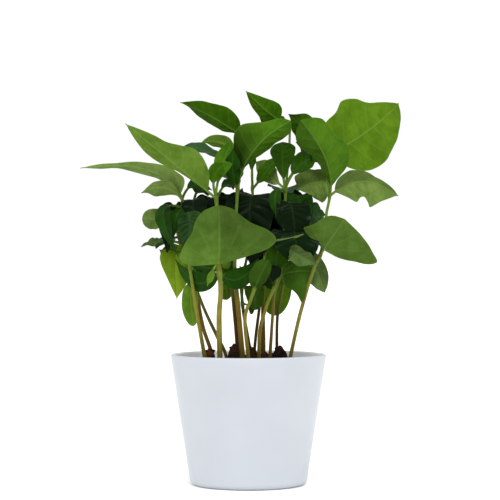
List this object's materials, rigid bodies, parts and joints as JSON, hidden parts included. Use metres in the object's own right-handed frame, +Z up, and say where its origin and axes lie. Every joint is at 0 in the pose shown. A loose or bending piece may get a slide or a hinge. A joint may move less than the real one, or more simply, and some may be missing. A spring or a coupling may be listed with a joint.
{
  "type": "potted coffee plant",
  "caption": "Clump of young coffee plants with bare tan stems, round waved seed leaves and pointed glossy leaves, in soil in a plain white tapered round pot.",
  "frame": {"origin": "centre of the pot's flat underside, on the surface that the pot stands on", "axes": "+Z up, -Y towards the front of the clump, +X to the right as seen from the front"},
  "size_m": [0.2464, 0.1374, 0.3024],
  "materials": {
    "pot": "satin, smooth, cool white",
    "soil": "matt dark potting soil with red-brown crumbs",
    "stem": "smooth olive to tan bark, darker at the foot",
    "leaf": "glossy dark green above, matt paler green below, with raised veins"
  },
  "bodies": {
    "root": {"pot": "pot", "soil": "soil", "stem_01": "stem", "shoot_01": "leaf", "stem_02": "stem", "shoot_02": "leaf", "stem_03": "stem", "shoot_03": "leaf", "stem_04": "stem", "shoot_04": "leaf", "stem_05": "stem", "shoot_05": "leaf", "stem_06": "stem", "shoot_06": "leaf", "stem_07": "stem", "shoot_07": "leaf", "stem_08": "stem", "shoot_08": "leaf", "stem_09": "stem", "shoot_09": "leaf", "stem_10": "stem", "shoot_10": "leaf", "stem_11": "stem", "shoot_11": "leaf", "stem_12": "stem", "shoot_12": "leaf", "stem_13": "stem", "shoot_13": "leaf", "stem_14": "stem", "shoot_14": "leaf"}
  },
  "joints": []
}
